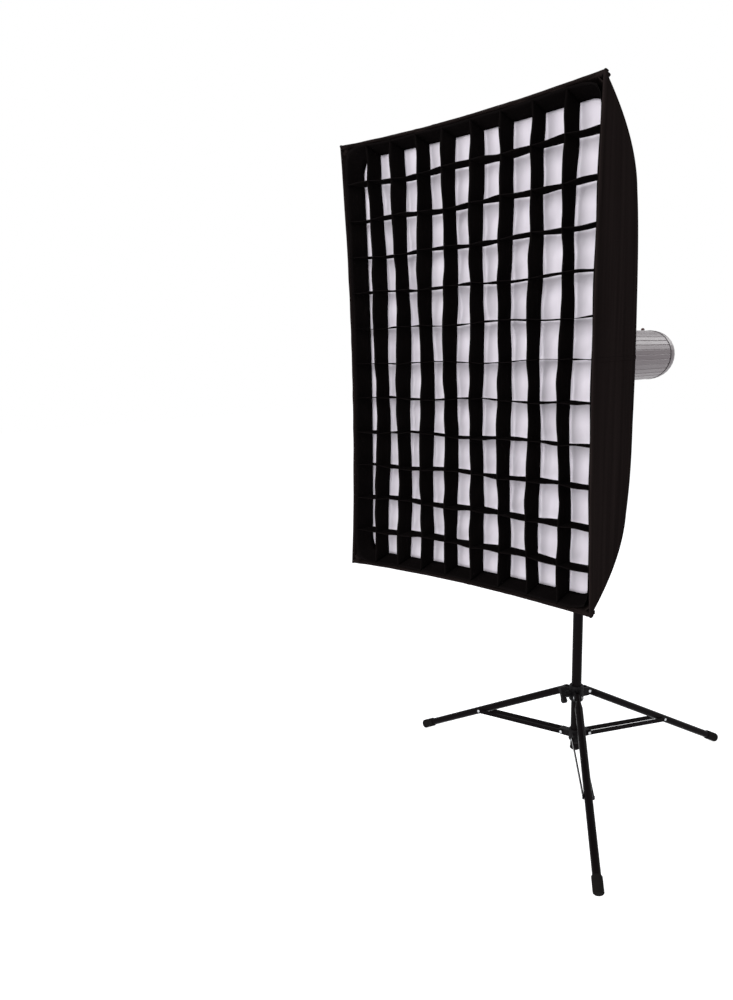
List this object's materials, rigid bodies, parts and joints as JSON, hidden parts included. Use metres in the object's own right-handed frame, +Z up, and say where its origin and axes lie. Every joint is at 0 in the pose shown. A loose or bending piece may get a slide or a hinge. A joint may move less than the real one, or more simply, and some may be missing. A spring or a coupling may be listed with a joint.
{
  "type": "strip softbox",
  "caption": "Rectangular softbox with a fabric grid on a finned flash head, carried by a tilt bracket on a telescopic stand with folding braced legs.",
  "frame": {"origin": "on the floor, under the middle of the outline", "axes": "+Z up the stand's column; -Y the way the softbox points; +X to its right-hand side seen from behind the lamp head, which is the tilt lever's side"},
  "size_m": [0.7848, 0.939, 1.539],
  "materials": {
    "black_paint": "satin",
    "black_plastic": "satin",
    "rubber": "matte",
    "steel": "satin",
    "black_cloth": "matte",
    "silver_cloth": "metallised",
    "white_cloth": "matte",
    "head_grey": "painted satin",
    "frosted_glass": "frosted"
  },
  "bodies": {
    "column": {"lower_tube": "black_paint", "column_end_plug": "black_plastic", "brace_collar": "black_plastic", "lower_lock_housing": "black_plastic"},
    "leg_collar": {"leg_collar": "black_plastic"},
    "leg_collar_knob": {"leg_collar_knob": "black_plastic"},
    "leg_1": {"leg_1": "black_paint", "foot_1": "rubber"},
    "leg_2": {"leg_2": "black_paint", "foot_2": "rubber"},
    "leg_3": {"leg_3": "black_paint", "foot_3": "rubber"},
    "brace_1": {"brace_1": "black_paint"},
    "brace_2": {"brace_2": "black_paint"},
    "brace_3": {"brace_3": "black_paint"},
    "lower_lock_knob": {"lower_lock_knob": "black_plastic"},
    "middle_section": {"middle_tube": "black_paint", "upper_lock_housing": "black_plastic"},
    "upper_lock_knob": {"upper_lock_knob": "black_plastic"},
    "top_section": {"top_tube": "black_paint", "stud": "steel"},
    "bracket": {"stud_socket": "black_paint", "tilt_bolt": "steel"},
    "socket_knob": {"socket_knob": "black_plastic"},
    "tilt_lever": {"tilt_lever": "black_plastic"},
    "head": {"head_body": "head_grey", "front_housing": "head_grey", "rear_cap": "head_grey", "mains_inlet": "black_plastic", "sync_socket": "steel", "slave_sensor": "rubber", "tilt_block": "black_paint", "reflector_dish": "steel", "flash_tube": "frosted_glass", "modelling_lamp": "frosted_glass"},
    "power_dial": {"power_dial": "black_plastic"},
    "lamp_dial": {"lamp_dial": "black_plastic"},
    "power_switch": {"power_switch": "black_plastic"},
    "test_button": {"test_button": "rubber"},
    "softbox": {"shell_right": "black_cloth", "shell_left": "black_cloth", "shell_top": "black_cloth", "shell_bottom": "black_cloth", "lining": "silver_cloth", "front_lip": "black_cloth", "speed_ring": "steel", "rib_1": "black_paint", "rib_2": "black_paint", "rib_3": "black_paint", "rib_4": "black_paint", "ring_insert": "steel", "hub_bridge": "steel", "runner": "steel", "stretcher_1": "steel", "stretcher_2": "steel", "stretcher_3": "steel", "stretcher_4": "steel", "centre_shaft": "steel"},
    "diffuser": {"diffuser": "white_cloth"},
    "grid": {"grid": "black_cloth"}
  },
  "joints": [
    {"name": "leg_collar_slide", "type": "slide", "parent": "column", "child": "leg_collar", "axis": [0, 0, 1], "range_m": [0, 0.41]},
    {"name": "leg_collar_knob_turn", "type": "hinge", "parent": "leg_collar", "child": "leg_collar_knob", "pos_m": [0.07322, 0.00264, 0.235], "axis": [-0.4163, -0.9092, 0], "range_deg": [-90, 90]},
    {"name": "leg_1_hinge", "type": "hinge", "parent": "leg_collar", "child": "leg_1", "pos_m": [0.1064, 0.00229, 0.235], "axis": [0.8151, 0.5793, 0], "range_deg": [0, 60]},
    {"name": "leg_2_hinge", "type": "hinge", "parent": "leg_collar", "child": "leg_2", "pos_m": [0.10069, 0.06265, 0.235], "axis": [-0.9092, 0.4163, 0], "range_deg": [0, 60]},
    {"name": "leg_3_hinge", "type": "hinge", "parent": "leg_collar", "child": "leg_3", "pos_m": [0.05128, 0.02753, 0.235], "axis": [0.0941, -0.9956, 0], "range_deg": [0, 60]},
    {"name": "brace_1_hinge", "type": "hinge", "parent": "column", "child": "brace_1", "pos_m": [0.1064, 0.00229, 0.12], "axis": [-0.8151, -0.5793, 0], "range_deg": [0, 88.8]},
    {"name": "brace_2_hinge", "type": "hinge", "parent": "column", "child": "brace_2", "pos_m": [0.10069, 0.06265, 0.12], "axis": [0.9092, -0.4163, 0], "range_deg": [0, 88.8]},
    {"name": "brace_3_hinge", "type": "hinge", "parent": "column", "child": "brace_3", "pos_m": [0.05128, 0.02753, 0.12], "axis": [-0.0941, 0.9956, 0], "range_deg": [0, 88.8]},
    {"name": "lower_lock_knob_turn", "type": "hinge", "parent": "column", "child": "lower_lock_knob", "pos_m": [0.08612, 0.06182, 0.7], "axis": [0, 1, 0], "range_deg": [-180, 180]},
    {"name": "middle_section_slide", "type": "slide", "parent": "column", "child": "middle_section", "axis": [0, 0, 1], "range_m": [-0.034, 0.4]},
    {"name": "upper_lock_knob_turn", "type": "hinge", "parent": "middle_section", "child": "upper_lock_knob", "pos_m": [0.08612, 0.06182, 0.785], "axis": [0, 1, 0], "range_deg": [-180, 180]},
    {"name": "top_section_slide", "type": "slide", "parent": "middle_section", "child": "top_section", "axis": [0, 0, 1], "range_m": [-0.118, 0.4]},
    {"name": "pan", "type": "hinge", "parent": "top_section", "child": "bracket", "pos_m": [0.08612, 0.03082, 0.995], "axis": [0, 0, 1], "continuous": true},
    {"name": "socket_knob_turn", "type": "hinge", "parent": "bracket", "child": "socket_knob", "pos_m": [0.08612, 0.06182, 0.955], "axis": [0, 1, 0], "range_deg": [-180, 180]},
    {"name": "tilt_lever_turn", "type": "hinge", "parent": "bracket", "child": "tilt_lever", "pos_m": [0.08612, 0.03082, 0.995], "axis": [1, 0, 0], "range_deg": [-60, 10]},
    {"name": "tilt", "type": "hinge", "parent": "bracket", "child": "head", "pos_m": [0.08612, 0.03082, 0.995], "axis": [1, 0, 0], "range_deg": [-40, 20]},
    {"name": "softbox_roll", "type": "hinge", "parent": "head", "child": "softbox", "pos_m": [0.08612, 0.03082, 1.0835], "axis": [0, 1, 0], "continuous": true},
    {"name": "diffuser_pull", "type": "slide", "parent": "softbox", "child": "diffuser", "axis": [0, -1, 0], "range_m": [0, 0.15]},
    {"name": "grid_pull", "type": "slide", "parent": "diffuser", "child": "grid", "axis": [0, -1, 0], "range_m": [0, 0.12]},
    {"name": "power_dial_turn", "type": "hinge", "parent": "head", "child": "power_dial", "pos_m": [0.10612, 0.40282, 1.0955], "axis": [0, 1, 0], "range_deg": [-135, 135]},
    {"name": "lamp_dial_turn", "type": "hinge", "parent": "head", "child": "lamp_dial", "pos_m": [0.06612, 0.40282, 1.0955], "axis": [0, 1, 0], "range_deg": [-135, 135]},
    {"name": "power_switch_rock", "type": "hinge", "parent": "head", "child": "power_switch", "pos_m": [0.06212, 0.40282, 1.0715], "axis": [0, 0, 1], "range_deg": [-8, 8]},
    {"name": "test_button_press", "type": "slide", "parent": "head", "child": "test_button", "axis": [0, -1, 0], "range_m": [0, 0.0015], "stiffness_N_per_m": 400}
  ],
  "couplings": [
    {"joint": "leg_1_hinge", "follows": "leg_collar_slide", "rad_per_m": 2.554},
    {"joint": "leg_2_hinge", "follows": "leg_collar_slide", "rad_per_m": 2.554},
    {"joint": "leg_3_hinge", "follows": "leg_collar_slide", "rad_per_m": 2.554},
    {"joint": "brace_1_hinge", "follows": "leg_collar_slide", "rad_per_m": 3.78},
    {"joint": "brace_2_hinge", "follows": "leg_collar_slide", "rad_per_m": 3.78},
    {"joint": "brace_3_hinge", "follows": "leg_collar_slide", "rad_per_m": 3.78}
  ]
}
